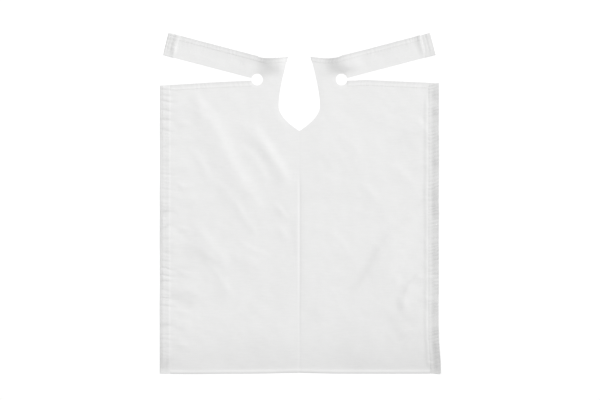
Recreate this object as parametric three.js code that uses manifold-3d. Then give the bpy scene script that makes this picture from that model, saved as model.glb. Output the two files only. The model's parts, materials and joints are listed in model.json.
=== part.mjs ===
// Bib apron cut from one piece of thin cloth, lying flat with its hems turned up.
// Millimetres. +X to the right, +Y towards the neck, +Z up, origin under the middle of the bounding box.
//
// The top of the cloth is slit on each side. The strip above each slit is a neck tab, which is swung up
// about the round relief hole that ends the slit. All sizes below are flat sizes of the cloth.

import * as THREE from 'three';
import { mergeVertices } from 'three/addons/utils/BufferGeometryUtils.js';
import Module from 'manifold-3d';

// Body of the apron
const APRON_WIDTH = 762;
const SIDE_LENGTH = 788.5; // from the bottom edge to the outer corner of the slit's lower edge

// Slits and their relief holes
const SLIT_HEIGHT = 804.5; // the slit's upper edge and the hole centres, above the bottom edge
const SLIT_GAP = 3.5; // from the slit's upper edge to its lower edge, at the hole
const HOLE_SPACING = 231;
const HOLE_DIAMETER = 32;

// Neck tabs
const TAB_WIDTH = 62;
const TAB_RAISE = THREE.MathUtils.degToRad(14.7);
const FIRST_BEND = 70; // from the hole centre, along the tab
const SECOND_BEND = 165;

// Keyhole neck opening
const NECK_MOUTH = 62.6;
const NECK_WIDTH = 114;
const NECK_WIDEST = 134; // below the shoulder corners
const NECK_DEPTH = 203;
const SHOULDER_DIP = 10;
const MOUTH_FLARE = 0.45; // fullness of the opening's curves, as shares of their width and height
const MOUTH_PULL = 0.3;
const THROAT_PULL = 0.28;
const BOWL_PULL = 0.39;
const FOOT_WIDTH = 0.475;
const FOOT_RISE = 0.25;

// Cloth, hems and thread
const CLOTH = 0.5;
const HEM_LAYERS = 2; // on top of the cloth itself
const SIDE_HEM = 28;
const BOTTOM_HEM = 11;
const WING_HEM = 15; // along the slits' lower edges
const TOP_HEM = 13; // along the shoulders and the tabs
const ROW_OUTER = 5; // rows of stitching on the side hem, in from the edge
const ROW_INNER = 14;
const ROW_INSET = 1.5; // row of stitching on every other hem, out from the hem's inner edge
const THREAD_WIDTH = 0.5;
const THREAD_HEIGHT = 0.3;

// Clearance between pieces that bend or swing against each other
const CLEARANCE = 0.3;

// Fineness of the curves and of the cuts
const HOLE_STEPS = 44;
const TAB_ROOT_STEPS = 14;
const SHOULDER_STEPS = 20;
const THROAT_STEPS = 30;
const BOWL_STEPS = 24;
const OVERRUN = 1; // how far a cutting solid runs past what it cuts
const WELD = 1e-4; // points nearer than this are one point

// Sizes that follow from those above
const HALF = APRON_WIDTH / 2;
const HOLE_X = HOLE_SPACING / 2;
const HOLE_R = HOLE_DIAMETER / 2;
const TAB_LENGTH = HALF - HOLE_X; // the tab is cut from the full width of the cloth
const SHOULDER_HEIGHT = SLIT_HEIGHT + TAB_WIDTH;
const JOIN_HEIGHT = SLIT_HEIGHT + TAB_WIDTH / Math.cos(TAB_RAISE); // where the tab's top edge meets the shoulder's
const OVERALL_LENGTH = SLIT_HEIGHT + TAB_LENGTH * Math.sin(TAB_RAISE) + TAB_WIDTH * Math.cos(TAB_RAISE);
const HEM_TOP = CLOTH * (1 + HEM_LAYERS);
const THREAD_TOP = HEM_TOP + THREAD_HEIGHT;
const WING_INNER_X = HOLE_X + Math.sqrt(HOLE_R ** 2 - SLIT_GAP ** 2);
const WING_INNER_Y = SLIT_HEIGHT - SLIT_GAP;

const wasm = await Module();
wasm.setup();

function toSolid(geometry) {
  const bare = geometry.clone();
  bare.deleteAttribute('normal');
  bare.deleteAttribute('uv');
  const merged = mergeVertices(bare, WELD);
  return new wasm.Manifold(new wasm.Mesh({
    numProp: 3,
    vertProperties: merged.attributes.position.array,
    triVerts: new Uint32Array(merged.index.array),
  }));
}

function toGeometry(solid) {
  const mesh = solid.getMesh();
  const geometry = new THREE.BufferGeometry();
  geometry.setAttribute('position', new THREE.BufferAttribute(mesh.vertProperties, 3));
  geometry.setIndex(new THREE.BufferAttribute(mesh.triVerts, 1));
  geometry.computeVertexNormals();
  return geometry;
}

function slab(points, bottom, top) {
  const shape = new THREE.Shape(points);
  const geometry = new THREE.ExtrudeGeometry(shape, { depth: top - bottom, bevelEnabled: false });
  return geometry.translate(0, 0, bottom);
}

// The part of one flat outline that lies inside another, as a layer between two heights
function sharedSlab(points, within, bottom, top) {
  const piece = toSolid(slab(points, bottom, top));
  const limit = toSolid(slab(within, bottom - OVERRUN, top + OVERRUN));
  return toGeometry(piece.intersect(limit));
}

function point(x, y) {
  return new THREE.Vector2(x, y);
}

function rectangle(x0, y0, x1, y1) {
  return [point(x0, y0), point(x1, y0), point(x1, y1), point(x0, y1)];
}

function arc(x, y, radius, start, end, steps) {
  const points = [];
  for (let i = 0; i <= steps; i += 1) {
    const angle = start + (end - start) * (i / steps);
    points.push(point(x + radius * Math.cos(angle), y + radius * Math.sin(angle)));
  }
  return points;
}

// A band of even height that hangs below a line of points
function band(line, from, to) {
  const upper = line.map((p) => point(p.x, p.y - from));
  const lower = line.map((p) => point(p.x, p.y - to));
  return [...upper, ...lower.reverse()];
}

function mirrored(points, side) {
  return points.map((p) => point(side * p.x, p.y));
}

// Lines of the right half, in the apron's plane, measured from the bottom of the centre crease

function shoulderEdge() {
  const curve = new THREE.QuadraticBezierCurve(
    point(HOLE_X, JOIN_HEIGHT),
    point(HOLE_X - HOLE_R, SHOULDER_HEIGHT - SHOULDER_DIP),
    point(NECK_MOUTH / 2, SHOULDER_HEIGHT),
  );
  return curve.getPoints(SHOULDER_STEPS);
}

function neckEdge() {
  const mouth = NECK_MOUTH / 2;
  const widest = NECK_WIDTH / 2;
  const widestY = SHOULDER_HEIGHT - NECK_WIDEST;
  const bottomY = SHOULDER_HEIGHT - NECK_DEPTH;
  const bowl = widestY - bottomY;
  const throat = new THREE.CubicBezierCurve(
    point(mouth, SHOULDER_HEIGHT),
    point(mouth + MOUTH_FLARE * (widest - mouth), SHOULDER_HEIGHT - MOUTH_PULL * NECK_WIDEST),
    point(widest, widestY + THROAT_PULL * NECK_WIDEST),
    point(widest, widestY),
  );
  const base = new THREE.CubicBezierCurve(
    point(widest, widestY),
    point(widest, widestY - BOWL_PULL * bowl),
    point(FOOT_WIDTH * widest, bottomY + FOOT_RISE * bowl),
    point(0, bottomY),
  );
  return [...throat.getPoints(THROAT_STEPS).slice(1), ...base.getPoints(BOWL_STEPS).slice(1)];
}

function panelOutline() {
  const slitAngle = -Math.asin(SLIT_GAP / HOLE_R);
  return [
    point(0, 0),
    point(HALF, 0),
    point(HALF, SIDE_LENGTH),
    ...arc(HOLE_X, SLIT_HEIGHT, HOLE_R, slitAngle, -1.5 * Math.PI, HOLE_STEPS),
    ...shoulderEdge(),
    ...neckEdge(),
  ];
}

// Lines of the right neck tab, in its own plane: x along the tab from the hole centre, y across it

// The tab's root ends on the line that stands straight up from the hole, which leans in the tab's own plane
function rootX(y) {
  return (CLEARANCE + y * Math.sin(TAB_RAISE)) / Math.cos(TAB_RAISE);
}

function tabRootOutline() {
  const top = Math.acos(CLEARANCE / HOLE_R) - TAB_RAISE;
  const end = FIRST_BEND - CLEARANCE / 2;
  return [
    ...arc(0, 0, HOLE_R, top, 0, TAB_ROOT_STEPS),
    point(end, 0),
    point(end, TAB_WIDTH),
    point(rootX(TAB_WIDTH), TAB_WIDTH),
  ];
}

function tabRootBand(from, to) {
  const end = FIRST_BEND - CLEARANCE / 2;
  return [
    point(rootX(TAB_WIDTH - from), TAB_WIDTH - from),
    point(rootX(TAB_WIDTH - to), TAB_WIDTH - to),
    point(end, TAB_WIDTH - to),
    point(end, TAB_WIDTH - from),
  ];
}

const CLOTH_LOOK = { color: 0xe2e2e2, roughness: 0.95, metalness: 0 };
const HEM_LOOK = { color: 0xdadada, roughness: 0.95, metalness: 0 };
const THREAD_LOOK = { color: 0xf2f2f2, roughness: 0.7, metalness: 0 };

function piece(name, geometry, look) {
  const mesh = new THREE.Mesh(geometry, new THREE.MeshStandardMaterial(look));
  mesh.name = name;
  return mesh;
}

function cloth(name, points) {
  return piece(name, slab(points, 0, CLOTH), CLOTH_LOOK);
}

function hem(name, points) {
  return piece(name, slab(points, CLOTH, HEM_TOP), HEM_LOOK);
}

function thread(name, points) {
  return piece(name, slab(points, HEM_TOP, THREAD_TOP), THREAD_LOOK);
}

function frontHalf(label, side) {
  const outline = mirrored(panelOutline(), side);
  const hemOn = (name, points) => {
    const geometry = sharedSlab(mirrored(points, side), outline, CLOTH, HEM_TOP);
    return piece(`${label}_${name}`, geometry, HEM_LOOK);
  };
  const threadOn = (name, points) => {
    const geometry = sharedSlab(mirrored(points, side), outline, HEM_TOP, THREAD_TOP);
    return piece(`${label}_${name}`, geometry, THREAD_LOOK);
  };
  const inner = HALF - SIDE_HEM;
  const row = (inset) => rectangle(HALF - inset - THREAD_WIDTH, 0, HALF - inset, SLIT_HEIGHT);
  const bottomRow = BOTTOM_HEM - ROW_INSET;
  const wingRow = WING_HEM - ROW_INSET;
  const topRow = TOP_HEM - ROW_INSET;
  const wingSlope = (SIDE_LENGTH - WING_INNER_Y) / (HALF - WING_INNER_X);
  const wingLine = [point(inner, SIDE_LENGTH - wingSlope * SIDE_HEM), point(WING_INNER_X, WING_INNER_Y)];
  return [
    cloth(`${label}_front_panel`, outline),
    hemOn('side_hem', rectangle(inner, 0, HALF, SLIT_HEIGHT)),
    hemOn('bottom_hem', rectangle(0, 0, inner, BOTTOM_HEM)),
    hemOn('wing_hem', band(wingLine, 0, WING_HEM)),
    hemOn('shoulder_hem', band(shoulderEdge(), 0, TOP_HEM)),
    threadOn('side_stitching_outer', row(ROW_OUTER)),
    threadOn('side_stitching_inner', row(ROW_INNER)),
    threadOn('bottom_stitching', rectangle(0, bottomRow, inner, bottomRow + THREAD_WIDTH)),
    threadOn('wing_stitching', band(wingLine, wingRow, wingRow + THREAD_WIDTH)),
    threadOn('shoulder_stitching', band(shoulderEdge(), topRow, topRow + THREAD_WIDTH)),
  ];
}

function neckTab(label, side) {
  const flip = (points) => mirrored(points, side);
  const half = CLEARANCE / 2;
  const topRow = TOP_HEM - ROW_INSET;
  const stretch = (x0, x1, from, to) => flip(rectangle(x0, TAB_WIDTH - to, x1, TAB_WIDTH - from));
  const across = (inset) => {
    return stretch(TAB_LENGTH - inset - THREAD_WIDTH, TAB_LENGTH - inset, 0, TAB_WIDTH);
  };
  const middle = [FIRST_BEND + half, SECOND_BEND - half];
  const end = [SECOND_BEND + half, TAB_LENGTH - SIDE_HEM - CLEARANCE];
  const tab = new THREE.Group();
  tab.add(
    cloth(`${label}_tab_root`, flip(tabRootOutline())),
    hem(`${label}_tab_root_hem`, flip(tabRootBand(0, TOP_HEM))),
    thread(`${label}_tab_root_stitching`, flip(tabRootBand(topRow, topRow + THREAD_WIDTH))),
    cloth(`${label}_tab_middle`, stretch(...middle, 0, TAB_WIDTH)),
    hem(`${label}_tab_middle_hem`, stretch(...middle, 0, TOP_HEM)),
    thread(`${label}_tab_middle_stitching`, stretch(...middle, topRow, topRow + THREAD_WIDTH)),
    cloth(`${label}_tab_end`, stretch(end[0], TAB_LENGTH, 0, TAB_WIDTH)),
    hem(`${label}_tab_end_top_hem`, stretch(...end, 0, TOP_HEM)),
    thread(`${label}_tab_end_top_stitching`, stretch(...end, topRow, topRow + THREAD_WIDTH)),
    hem(`${label}_tab_end_side_hem`, stretch(TAB_LENGTH - SIDE_HEM, TAB_LENGTH, 0, TAB_WIDTH)),
    thread(`${label}_tab_end_stitching_outer`, across(ROW_OUTER)),
    thread(`${label}_tab_end_stitching_inner`, across(ROW_INNER)),
  );
  tab.position.set(side * HOLE_X, SLIT_HEIGHT, 0);
  tab.rotation.z = side * TAB_RAISE;
  return tab;
}

const apron = new THREE.Group();
for (const [label, side] of [['left', -1], ['right', 1]]) {
  apron.add(...frontHalf(label, side), neckTab(label, side));
}
apron.position.y = -OVERALL_LENGTH / 2;

export default apron;
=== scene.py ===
import json
import math

import bmesh
import bpy
import numpy as np
from bpy.props import FloatProperty, FloatVectorProperty, PointerProperty
from bpy.types import Operator, Panel, PropertyGroup
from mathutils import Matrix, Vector
from mathutils.geometry import delaunay_2d_cdt


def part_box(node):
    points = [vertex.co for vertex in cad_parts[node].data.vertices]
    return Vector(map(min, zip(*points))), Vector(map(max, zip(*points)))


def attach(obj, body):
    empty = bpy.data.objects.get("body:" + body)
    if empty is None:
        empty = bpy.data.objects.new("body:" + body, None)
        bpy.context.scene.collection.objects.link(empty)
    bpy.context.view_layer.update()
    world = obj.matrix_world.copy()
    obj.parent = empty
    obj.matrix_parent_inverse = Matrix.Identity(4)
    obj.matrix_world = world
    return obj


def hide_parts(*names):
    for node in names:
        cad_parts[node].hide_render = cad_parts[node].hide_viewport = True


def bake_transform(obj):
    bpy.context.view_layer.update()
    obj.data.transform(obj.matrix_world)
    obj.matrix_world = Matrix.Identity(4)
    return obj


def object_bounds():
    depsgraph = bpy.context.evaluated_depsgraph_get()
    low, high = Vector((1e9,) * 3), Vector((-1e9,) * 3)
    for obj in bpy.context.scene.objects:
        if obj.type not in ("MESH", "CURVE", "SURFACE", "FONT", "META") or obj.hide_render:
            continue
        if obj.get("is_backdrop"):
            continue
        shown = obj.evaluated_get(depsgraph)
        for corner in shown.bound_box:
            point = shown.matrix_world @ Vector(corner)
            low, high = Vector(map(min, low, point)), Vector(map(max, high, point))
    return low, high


bl_info = {
    "name": "Bib apron",
    "version": (1, 0, 0),
    "blender": (4, 5, 0),
    "location": "3D View > Sidebar > Apron",
    "description": "Makes a flat-cut cloth bib apron with turned hems, stitching and neck tabs",
    "category": "Object",
}

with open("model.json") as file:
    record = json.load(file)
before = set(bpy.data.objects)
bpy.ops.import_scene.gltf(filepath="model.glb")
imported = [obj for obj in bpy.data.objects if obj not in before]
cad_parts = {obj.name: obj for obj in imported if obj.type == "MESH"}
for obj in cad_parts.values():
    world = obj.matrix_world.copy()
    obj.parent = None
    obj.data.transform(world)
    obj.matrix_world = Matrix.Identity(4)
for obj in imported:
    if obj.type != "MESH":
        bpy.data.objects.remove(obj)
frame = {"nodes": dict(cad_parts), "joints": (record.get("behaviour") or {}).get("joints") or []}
CAD_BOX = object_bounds()

MM = 0.001
NEAR = 1e-6  # points nearer than this are one point
SIDES = (("left", -1), ("right", 1))


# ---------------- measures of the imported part


def joint(name):
    return next(j for j in frame["joints"] if j["name"] == name)


def points_of(node):
    """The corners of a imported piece, as rows of x, y, z."""
    return np.array([v.co for v in frame["nodes"][node].data.vertices])


def middle_of(node):
    """The x, y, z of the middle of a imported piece's box."""
    return [(low + high) / 2 for low, high in zip(*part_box(node))]


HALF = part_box("right_front_panel")[1].x
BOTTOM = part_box("right_front_panel")[0].y
HOLE_X, HOLE_Y = joint("right_tab_swing")["pos_m"][:2]
TAB_AXIS = joint("right_tab_wrap")["axis"]
RAISE = math.atan2(TAB_AXIS[0], -TAB_AXIS[1])
HOLE_R = float(np.hypot(*(points_of("right_front_panel")[:, :2] - (HOLE_X, HOLE_Y)).T).min())
ALONG = np.array([math.cos(RAISE), math.sin(RAISE)])
ACROSS = np.array([-math.sin(RAISE), math.cos(RAISE)])


def tab_place(u, v, side):
    """Where a point of a neck tab lies: u along the tab from the hole's centre, v across it."""
    x = HOLE_X + u * ALONG[0] + v * ACROSS[0]
    y = HOLE_Y + u * ALONG[1] + v * ACROSS[1]
    return np.stack([side * x, y], axis=-1)


def tab_reach(node):
    """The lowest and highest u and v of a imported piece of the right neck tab."""
    away = points_of(node)[:, :2] - (HOLE_X, HOLE_Y)
    u, v = away @ ALONG, away @ ACROSS
    return u.min(), u.max(), v.min(), v.max()


TAB_LENGTH, TAB_WIDTH = tab_reach("right_tab_end")[1], tab_reach("right_tab_end")[3]
TAB_HEM = TAB_WIDTH - tab_reach("right_tab_middle_hem")[2]
TAB_ROW = TAB_WIDTH - sum(tab_reach("right_tab_middle_stitching")[2:]) / 2
SIDE_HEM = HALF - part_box("right_side_hem")[0].x
CORNER_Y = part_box("right_side_hem")[1].y
BOTTOM_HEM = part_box("right_bottom_hem")[1].y - BOTTOM
ROW_OUTER = HALF - middle_of("right_side_stitching_outer")[0]
ROW_INNER = HALF - middle_of("right_side_stitching_inner")[0]
BOTTOM_ROW = middle_of("right_bottom_stitching")[1] - BOTTOM


def drop(node, x_side):
    """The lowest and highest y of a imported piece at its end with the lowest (-1) or highest (1) x."""
    points = points_of(node)
    end = (points[:, 0] * x_side).max()
    at_end = points[points[:, 0] * x_side > end - 10 * NEAR]
    return at_end[:, 1].min(), at_end[:, 1].max()


WING_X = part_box("right_wing_hem")[0].x
WING_Y = drop("right_wing_hem", -1)[1]
WING_HEM = WING_Y - drop("right_wing_hem", -1)[0]
WING_ROW = WING_Y - sum(drop("right_wing_stitching", -1)) / 2
WING_SLOPE = (CORNER_Y - WING_Y) / (HALF - WING_X)

# Where one piece of cloth passes into the next, out of sight in the weave, and where each bend begins and
# ends, along the tab from the hole's centre or, for the swing, from the centre crease
SEAM_X = HOLE_X - 12 * MM
ROOT_END = 45 * MM
MIDDLE_END = 118 * MM


def outline(node):
    """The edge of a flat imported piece, as a loop of x, y."""
    shape = bmesh.new()
    shape.from_mesh(frame["nodes"][node].data)
    bmesh.ops.remove_doubles(shape, verts=shape.verts, dist=NEAR)
    floor = min(v.co.z for v in shape.verts) + NEAR
    follows = {}
    for face in shape.faces:
        if all(v.co.z < floor for v in face.verts):
            for loop in face.loops:
                edge = loop.edge
                if any(any(v.co.z > floor for v in f.verts) for f in edge.link_faces):
                    follows[loop.vert.index] = loop.link_loop_next.vert.index
    shape.verts.ensure_lookup_table()
    start = next(iter(follows))
    order, at = [start], follows[start]
    while at != start:
        order.append(at)
        at = follows[at]
    points = np.array([shape.verts[i].co[:2] for i in order])
    shape.free()
    return points


def turned_to(points, target):
    """A loop of points that starts at the one nearest to target and runs anticlockwise."""
    x, y = points[:, 0], points[:, 1]
    if (x * np.roll(y, -1) - y * np.roll(x, -1)).sum() < 0:
        points = points[::-1]
    first = np.argmin(np.hypot(*(points - target).T))
    return np.roll(points, -first, axis=0)


def split_edge():
    """The right half's edge: the shoulder from the tab to the neck's mouth, the neck, and all below."""
    edge = turned_to(outline("right_front_panel"), (0, BOTTOM))
    beyond_hole = np.flatnonzero(edge[:, 0] >= HOLE_X - 10 * NEAR)
    join = beyond_hole[np.argmax(edge[beyond_hole, 1])]
    after = edge[join:]
    turns = np.diff(after, axis=0)
    heading = np.unwrap(np.arctan2(turns[:, 1], turns[:, 0]))
    mouth = int(np.argmax(np.abs(np.diff(heading)))) + 1
    return after[: mouth + 1], after[mouth:], edge[:join]


SHOULDER, NECK, BELOW = split_edge()


def at_x(line, x):
    """The point of a line, listed with falling x, at one x."""
    return np.array([x, np.interp(x, line[::-1, 0], line[::-1, 1])])


SEAM_TOP = at_x(SHOULDER, SEAM_X)
SEAM_FOOT = np.array([SEAM_X, HOLE_Y + math.sqrt(HOLE_R**2 - (HOLE_X - SEAM_X) ** 2)])


def spaced(line, step):
    """A line with more points, so that no two are further apart than step."""
    made = [line[0]]
    for a, b in zip(line[:-1], line[1:]):
        count = max(1, math.ceil(np.hypot(*(b - a)) / step - 1e-6))
        made += [a + (b - a) * (i / count) for i in range(1, count + 1)]
    return np.array(made)


def mirror(points, side):
    return points * np.array([side, 1])


# ---------------- how the cloth lies


def settle(t):
    """From 0 to 1, smoothly."""
    t = np.clip(t, 0, 1)
    return t * t * (3 - 2 * t)


def rising(t, start, span):
    """0 up to start, then smoothly up to 1."""
    return settle((t - start) / span)


def falling(t, end, span):
    """1 at first, then smoothly down to 0 at the end."""
    return settle((end - t) / span)


def hump(t, centre, width):
    """1 at the centre, and soft slopes down to 0 on both sides."""
    return np.exp(-(((t - centre) / width) ** 2))


def lumps(x, y, cell, seed):
    """Smooth noise from -1 to 1, of that cell size."""
    grid = np.random.RandomState(seed).uniform(-1, 1, (64, 64))
    i, j = np.floor(x / cell), np.floor(y / cell)
    fx, fy = settle(x / cell - i), settle(y / cell - j)
    i, j = i.astype(int) % 63, j.astype(int) % 63
    low = grid[i, j] * (1 - fx) + grid[i + 1, j] * fx
    high = grid[i, j + 1] * (1 - fx) + grid[i + 1, j + 1] * fx
    return low * (1 - fy) + high * fy


def beside(line, x, y):
    """Distance to a line, positive on its left, with the distance along it and its whole length."""
    best = np.full(x.shape, 1e9)
    signed, along = np.zeros(x.shape), np.zeros(x.shape)
    run = 0.0
    for a, b in zip(line[:-1], line[1:]):
        length = math.hypot(b[0] - a[0], b[1] - a[1])
        dx, dy = (b[0] - a[0]) / length, (b[1] - a[1]) / length
        t = np.clip((x - a[0]) * dx + (y - a[1]) * dy, 0, length)
        px, py = x - a[0] - t * dx, y - a[1] - t * dy
        d = np.hypot(px, py)
        nearer = d < best
        best = np.where(nearer, d, best)
        signed = np.where(nearer, np.where(dx * py - dy * px < 0, -d, d), signed)
        along = np.where(nearer, run + t, along)
        run += length
    return signed, along, run


def close_to(line, x, y, reach):
    """Which places are in the box round a line, with a margin of reach."""
    (low_x, low_y), (high_x, high_y) = np.min(line, axis=0) - reach, np.max(line, axis=0) + reach
    return (x > low_x) & (x < high_x) & (y > low_y) & (y < high_y)


# The shapes of the cloth are in millimetres, with x and y from the foot of the centre crease.
# A fold has a line, its height, its reach on the left and on the right of the line's direction, and how
# much of its start and of its end fades out
FOLDS = (
    (((-335, 772), (-312, 735), (-250, 683), (-204, 598), (-141, 500), (-80, 400)), 2.9, 21, 44, 0.3, 0.35),
    (((-300, 772), (-262, 722), (-243, 700)), 1.3, 13, 18, 0.4, 0.5),
    (((-175, 700), (-104, 632), (-58, 572), (-22, 512), (-6, 488)), 2.5, 19, 26, 0.35, 0.2),
    (((-312, 424), (-256, 370), (-211, 306), (-185, 250)), 2.6, 18, 30, 0.35, 0.4),
    (((-205, 344), (-150, 312), (-85, 282)), 1.5, 17, 24, 0.4, 0.4),
    (((-268, 560), (-320, 570), (-378, 566)), 0.9, 12, 18, 0.6, 0.3),
    (((-250, 468), (-310, 480), (-378, 474)), 1.0, 14, 20, 0.6, 0.3),
    (((-240, 318), (-300, 338), (-378, 336)), 1.5, 15, 26, 0.55, 0.3),
    (((-240, 196), (-300, 222), (-378, 226)), 1.3, 15, 24, 0.55, 0.3),
    (((-270, 118), (-320, 134), (-378, 130)), 1.0, 14, 22, 0.55, 0.3),
    (((-64, 414), (-38, 376), (-14, 344)), 1.1, 11, 14, 0.4, 0.4),
    (((-74, 474), (-44, 436), (-18, 408)), 1.1, 10, 12, 0.4, 0.4),
    (((140, 226), (212, 314), (251, 372), (300, 432), (345, 476)), 4.2, 12, 40, 0.5, 0.5),
    (((205, 232), (246, 292), (286, 350), (318, 392)), 1.6, 11, 24, 0.5, 0.5),
    (((270, 628), (305, 660), (345, 690)), 2.2, 14, 28, 0.45, 0.2),
    (((292, 155), (282, 180), (282, 208), (294, 238), (316, 262)), 2.1, 11, 22, 0.35, 0.4),
    (((296, 262), (340, 258), (378, 262)), 1.2, 9, 14, 0.5, 0.2),
    (((250, 112), (300, 146), (352, 168)), 1.4, 14, 28, 0.4, 0.3),
    (((60, 655), (90, 610), (110, 560)), 1.0, 22, 34, 0.5, 0.5),
    (((-150, 96), (-60, 120), (40, 96)), 1.0, 26, 34, 0.5, 0.5),
    (((120, 220), (60, 160), (30, 90)), 0.9, 24, 34, 0.5, 0.5),
)

# Short wrinkles where the cloth is drawn in beside the left hem, over the body and low on the right: a
# line, its height and its two reaches, as above
WRINKLES = (
    (((-176, 640), (-120, 580), (-70, 500)), 1.0, 12, 18),
    (((-250, 560), (-168, 452), (-104, 352)), 1.1, 12, 20),
    (((-190, 380), (-120, 330), (-54, 306)), 0.9, 10, 15),
    (((-276, 330), (-210, 246), (-160, 160)), 1.1, 12, 18),
    (((-310, 640), (-262, 560), (-222, 500)), 1.0, 12, 18),
    (((150, 540), (196, 498), (230, 430)), 0.8, 12, 18),
    (((90, 680), (150, 612), (180, 530)), 0.8, 12, 18),
    (((60, 420), (120, 350), (150, 270)), 0.7, 12, 18),
    (((230, 600), (290, 540), (330, 500)), 0.8, 12, 18),
    (((-345, 690), (-322, 684), (-296, 690)), 0.8, 6, 8),
    (((-345, 520), (-318, 512), (-286, 514)), 0.9, 6, 9),
    (((-348, 404), (-322, 398), (-290, 388)), 1.0, 6, 9),
    (((-348, 286), (-320, 276), (-282, 268)), 1.1, 7, 10),
    (((-350, 176), (-322, 166), (-286, 160)), 1.1, 7, 10),
    (((-350, 84), (-322, 78), (-296, 78)), 0.9, 6, 8),
    (((236, 210), (262, 240), (276, 276)), 1.1, 7, 10),
    (((262, 96), (300, 116), (336, 122)), 1.1, 7, 10),
    (((318, 196), (342, 206), (366, 202)), 0.9, 6, 8),
    (((312, 330), (338, 344), (368, 344)), 0.9, 6, 8),
    (((300, 560), (334, 572), (368, 568)), 0.8, 7, 9),
)
WRINKLE_FADE = 0.5

# The soft roll beside the right side hem
SIDE_ROLL = (((348, 8), (347, 390), (348, 770)), 1.5, 4.2, 9, 0.03, 0.06)

BROAD = 8  # folds that reach further than this wander and swell
NOISE_X = 400  # moves the noise's origin out beyond the left edge


def on_cloth(points):
    """Places x, y in metres as pairs in millimetres from the foot of the centre crease."""
    return [tuple(p) for p in (np.atleast_2d(points) - (0, BOTTOM)) / MM]


def tab_fold(side, inset, height, outer, inner):
    """A roll across a neck tab, that far in from its end, with its reach towards the end and the root."""
    u = TAB_LENGTH - inset * MM
    ends = tab_place(u, np.array([-4 * MM, TAB_WIDTH + 4 * MM]), side)
    reach = (outer, inner) if side < 0 else (inner, outer)
    return (on_cloth(ends), height, *reach, 0, 0)


ALL_FOLDS = (
    *FOLDS,
    *((*wrinkle, WRINKLE_FADE, WRINKLE_FADE) for wrinkle in WRINKLES),
    SIDE_ROLL,
    tab_fold(-1, SIDE_HEM / MM - 2.5, 3.2, 10, 3.6),
    tab_fold(1, SIDE_HEM / MM + 1.5, 2.9, 3.2, 10),
    tab_fold(-1, 10, 0.9, 3.6, 3.6),
    tab_fold(-1, 19, 0.6, 3, 3),
    tab_fold(1, 8.5, 1.1, 3.6, 3.6),
    tab_fold(1, 18, 0.7, 3, 3),
)


def folds_height(x, y):
    """All the folds together, each fading out at its ends."""
    total = np.zeros(x.shape)
    for line, height, left, right, start, end in ALL_FOLDS:
        wide = max(left, right)
        near = close_to(line, x, y, 3 * wide)
        if not near.any():
            continue
        across, along, length = beside(line, x[near], y[near])
        if wide > BROAD:
            across = across + 0.2 * wide * lumps(x[near] + NOISE_X, y[near], 2.2 * wide, 21)
        fade = 1 + 0.3 * lumps(x[near] + NOISE_X, y[near], 1.5 * wide + 12, 22) * (wide > BROAD)
        if start:
            fade = fade * settle(along / (start * length))
        if end:
            fade = fade * falling(along, length, end * length)
        total[near] += height * hump(across, 0, np.where(across > 0, left, right)) * fade
    return total


def pucker_lines():
    """Where stitching puckers the cloth: an edge, its hem, the spacing, height, reach, lean and seed."""
    half, corner = HALF / MM, (CORNER_Y - BOTTOM) / MM
    hems = (SIDE_HEM, BOTTOM_HEM, WING_HEM, TAB_HEM)
    side, bottom, wing_hem, top_hem = (round(hem / MM, 3) for hem in hems)
    wing_x, wing_y = WING_X / MM, (WING_Y - BOTTOM) / MM
    lines = [
        (((-half, 0), (-half, corner)), side, 27, 1.2, 13, 0.12, 10),
        (((-half, 0), (-half, corner)), side, 12, 0.4, 15, 0.1, 11),
        (((half, corner), (half, 0)), side, 11, 1.15, 8.5, -0.3, 12),
        (((half, 0), (-half, 0)), bottom, 12, 0.45, 7, 0.2, 13),
        (((wing_x, wing_y), (half, corner)), wing_hem, 13, 0.45, 7, 0.2, 14),
        (((-half, corner), (-wing_x, wing_y)), wing_hem, 13, 0.35, 7, -0.2, 15),
    ]
    for way, seed in ((-1, 16), (1, 17)):
        far = tab_place(TAB_LENGTH, np.array([0, TAB_WIDTH]), way)
        top = on_cloth(mirror(SHOULDER[::-1], way)) + on_cloth(far[1])
        lines.append((top, top_hem, 10, 0.5, 6, 0.15 * way, seed))
        lines.append((on_cloth(far), side, 11, 0.5, 6, 0.1, seed + 4))
    return lines


PUCKERS = pucker_lines()
PUCKER_SHADES = (2.4, 0.5, 0.8)  # painted shade between the puckers of the first three lines: how much greyer the cloth is in their valleys


def pucker_shape(x, y, pucker):
    """One line of puckers: the height of its crests and the depth of its valleys, from 0 to about 1."""
    line, hem, spacing, _, reach, lean, seed = pucker
    near = close_to(line, x, y, hem + 4 * reach)
    crests, valleys = np.zeros(x.shape), np.zeros(x.shape)
    if near.any():
        across, along, length = beside(line, x[near], y[near])
        inset = np.abs(across)
        s = along + lean * inset
        s = s + 1.05 * spacing * lumps(s, s * 0 + seed, 2.3 * spacing, seed)
        s = s + 0.25 * spacing * lumps(s, inset, 1.1 * spacing, seed + 40)
        crest = np.abs(np.sin(math.pi * s / spacing)) ** 0.85
        strength = np.clip(0.6 + 0.62 * lumps(along, inset * 0.5, 1.6 * spacing, seed + 80), 0.08, 1.2)
        fade = np.where(inset < hem / 2, 1, hump(inset, hem / 2, hem / 2 + reach))
        ends = settle(along / 6 + 0.3) * settle((length - along) / 6 + 0.3)
        crests[near] = crest * strength * fade * ends
        valleys[near] = (1 - crest) ** 2 * strength * fade**2
    return crests, valleys


def pucker_height(x, y):
    """All the puckers together."""
    return sum(pucker[3] * pucker_shape(x, y, pucker)[0] for pucker in PUCKERS)


def crease_height(x, y, deep):
    """A pressed valley down the middle, deepest round its middle stretch, with a low lip on its left."""
    strength = 0.12 + 0.88 * (0.38 + 0.62 * rising(y, 150, 150)) * falling(y, 560, 70)
    side = np.abs(x - 1.5 * strength)
    lip = 0.3 * hump(x, -5.5, 3.6) * strength**2
    return deep * (strength * (1 - np.exp(-side / 6)) * hump(side, 0, 46) + lip)


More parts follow.
